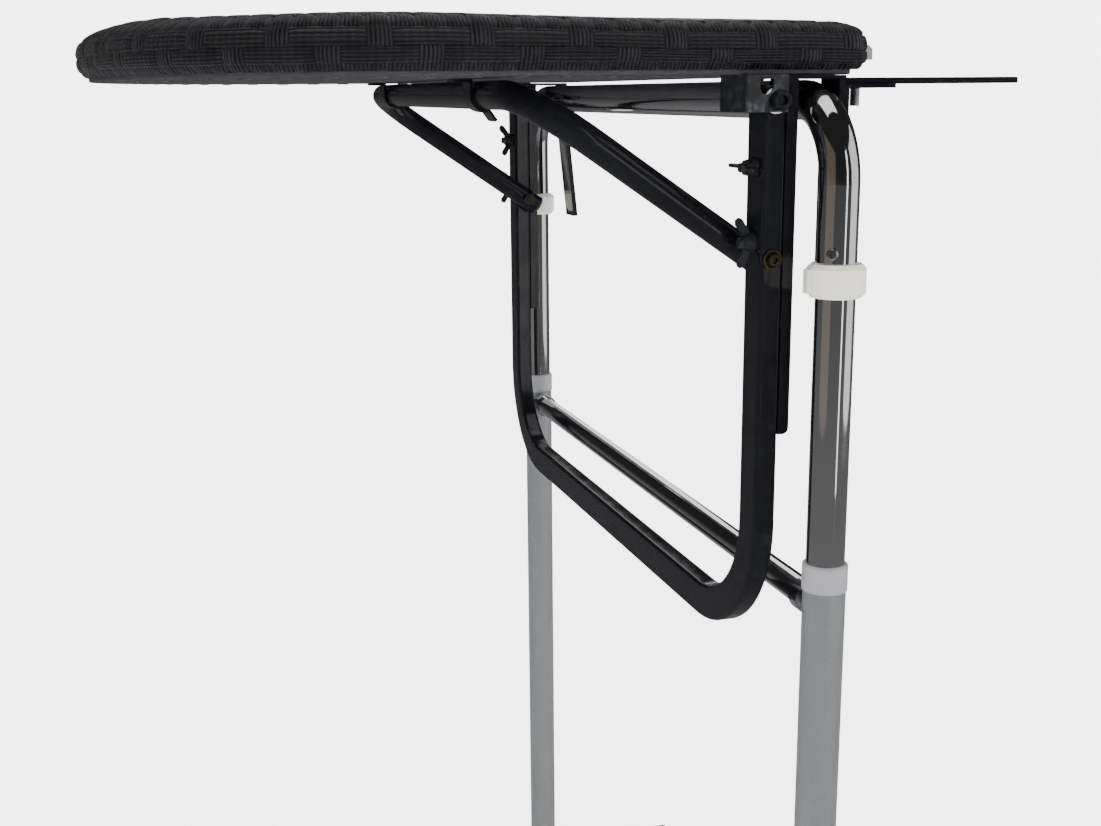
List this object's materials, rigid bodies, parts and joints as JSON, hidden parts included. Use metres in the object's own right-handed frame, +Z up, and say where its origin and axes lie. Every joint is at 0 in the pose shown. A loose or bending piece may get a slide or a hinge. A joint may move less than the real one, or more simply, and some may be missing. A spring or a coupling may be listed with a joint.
{
  "type": "hook-on padded folding board with stand",
  "caption": "Padded D-shaped folding board on a black U-frame that hooks over the top bar of a chrome tubular stand and is propped by a swinging U-shaped stay.",
  "frame": {"origin": "on the floor, under the middle of the object's footprint", "axes": "+Z up, -Y towards the board's rounded nose, +X towards the side with the rear arm"},
  "size_m": [0.694, 0.6, 0.9495],
  "materials": {
    "top_frame": "polished chrome plate",
    "lower_leg_right": "satin grey metallic",
    "lower_leg_left": "satin grey metallic",
    "leg_bushings": "light grey moulded plastic",
    "crossbar": "polished chrome plate",
    "crossbar_ferrules": "polished chrome plate",
    "foot_tube_right": "satin grey metallic",
    "foot_tube_left": "satin grey metallic",
    "foot_caps_front": "black moulded plastic",
    "foot_caps_rear": "black moulded plastic",
    "leg_collars": "white moulded nylon",
    "stop_screws": "bright zinc plate",
    "u_frame": "gloss black enamel",
    "frame_plugs": "black moulded plastic",
    "hook_rail_right": "gloss black enamel",
    "hook_rail_left": "gloss black enamel",
    "clamp_bolts": "black zinc plate",
    "clamp_washers": "black zinc plate",
    "rear_brackets": "gloss black enamel",
    "rear_bracket_screws": "bright zinc plate",
    "rear_arm": "gloss black enamel",
    "hinge_bolts": "black oxide, worn bright at the rims",
    "hinge_nuts": "bright zinc plate",
    "hinge_washers": "natural nylon",
    "stay_pivot_bolts": "dull yellow zinc plate",
    "stay_pivot_nuts": "black zinc plate",
    "board_plate": "black-painted plywood",
    "pad_cover": "near-black woven synthetic strap",
    "foam_core": "soft foam",
    "hinge_bracket_right": "gloss black enamel",
    "hinge_bracket_left": "gloss black enamel",
    "plate_screws": "bright zinc plate",
    "pull_tab": "dark grey webbing",
    "stay": "gloss black enamel",
    "stay_end_caps": "black moulded plastic",
    "stay_clip_right": "gloss black enamel",
    "stay_clip_left": "gloss black enamel",
    "wing_nut_upper_right": "black zinc plate",
    "wing_nut_lower_right": "black zinc plate",
    "wing_nut_upper_left": "black zinc plate",
    "wing_nut_lower_left": "black zinc plate"
  },
  "bodies": {
    "stand": {"top_frame": "top_frame", "lower_leg_right": "lower_leg_right", "lower_leg_left": "lower_leg_left", "leg_bushings": "leg_bushings", "crossbar": "crossbar", "crossbar_ferrules": "crossbar_ferrules", "foot_tube_right": "foot_tube_right", "foot_tube_left": "foot_tube_left", "foot_caps_front": "foot_caps_front", "foot_caps_rear": "foot_caps_rear", "leg_collars": "leg_collars", "stop_screws": "stop_screws"},
    "hook_frame": {"u_frame": "u_frame", "frame_plugs": "frame_plugs", "hook_rail_right": "hook_rail_right", "hook_rail_left": "hook_rail_left", "clamp_bolts": "clamp_bolts", "clamp_washers": "clamp_washers", "rear_brackets": "rear_brackets", "rear_bracket_screws": "rear_bracket_screws", "rear_arm": "rear_arm", "hinge_bolts": "hinge_bolts", "hinge_nuts": "hinge_nuts", "hinge_washers": "hinge_washers", "stay_pivot_bolts": "stay_pivot_bolts", "stay_pivot_nuts": "stay_pivot_nuts"},
    "board": {"board_plate": "board_plate", "pad_cover": "pad_cover", "foam_core": "foam_core", "hinge_bracket_right": "hinge_bracket_right", "hinge_bracket_left": "hinge_bracket_left", "plate_screws": "plate_screws", "pull_tab": "pull_tab"},
    "stay_bar": {"stay": "stay", "stay_end_caps": "stay_end_caps", "stay_clip_right": "stay_clip_right", "stay_clip_left": "stay_clip_left"},
    "wing_nut_upper_right": {"wing_nut_upper_right": "wing_nut_upper_right"},
    "wing_nut_lower_right": {"wing_nut_lower_right": "wing_nut_lower_right"},
    "wing_nut_upper_left": {"wing_nut_upper_left": "wing_nut_upper_left"},
    "wing_nut_lower_left": {"wing_nut_lower_left": "wing_nut_lower_left"}
  },
  "joints": [
    {"name": "frame_lift", "type": "slide", "parent": "stand", "child": "hook_frame", "axis": [0, 0, 1], "range_m": [0, 0.04]},
    {"name": "board_hinge", "type": "hinge", "parent": "hook_frame", "child": "board", "pos_m": [0, 0.113, 0.9], "axis": [1, 0, 0], "range_deg": [0, 45]},
    {"name": "stay_pivot", "type": "hinge", "parent": "hook_frame", "child": "stay_bar", "pos_m": [0, 0.113, 0.802], "axis": [1, 0, 0], "range_deg": [0, 125]},
    {"name": "wing_upper_right_turn", "type": "hinge", "parent": "hook_frame", "child": "wing_nut_upper_right", "pos_m": [0.2875, 0.1055, 0.859], "axis": [0, -1, 0], "continuous": true},
    {"name": "wing_lower_right_turn", "type": "hinge", "parent": "hook_frame", "child": "wing_nut_lower_right", "pos_m": [0.2875, 0.1055, 0.812], "axis": [0, -1, 0], "range_deg": [-40, 40]},
    {"name": "wing_upper_left_turn", "type": "hinge", "parent": "hook_frame", "child": "wing_nut_upper_left", "pos_m": [-0.2875, 0.1055, 0.859], "axis": [0, -1, 0], "continuous": true},
    {"name": "wing_lower_left_turn", "type": "hinge", "parent": "hook_frame", "child": "wing_nut_lower_left", "pos_m": [-0.2875, 0.1055, 0.812], "axis": [0, -1, 0], "range_deg": [-40, 40]}
  ],
  "couplings": [
    {"joint": "stay_pivot", "follows": "board_hinge", "ratio": 2.757}
  ]
}
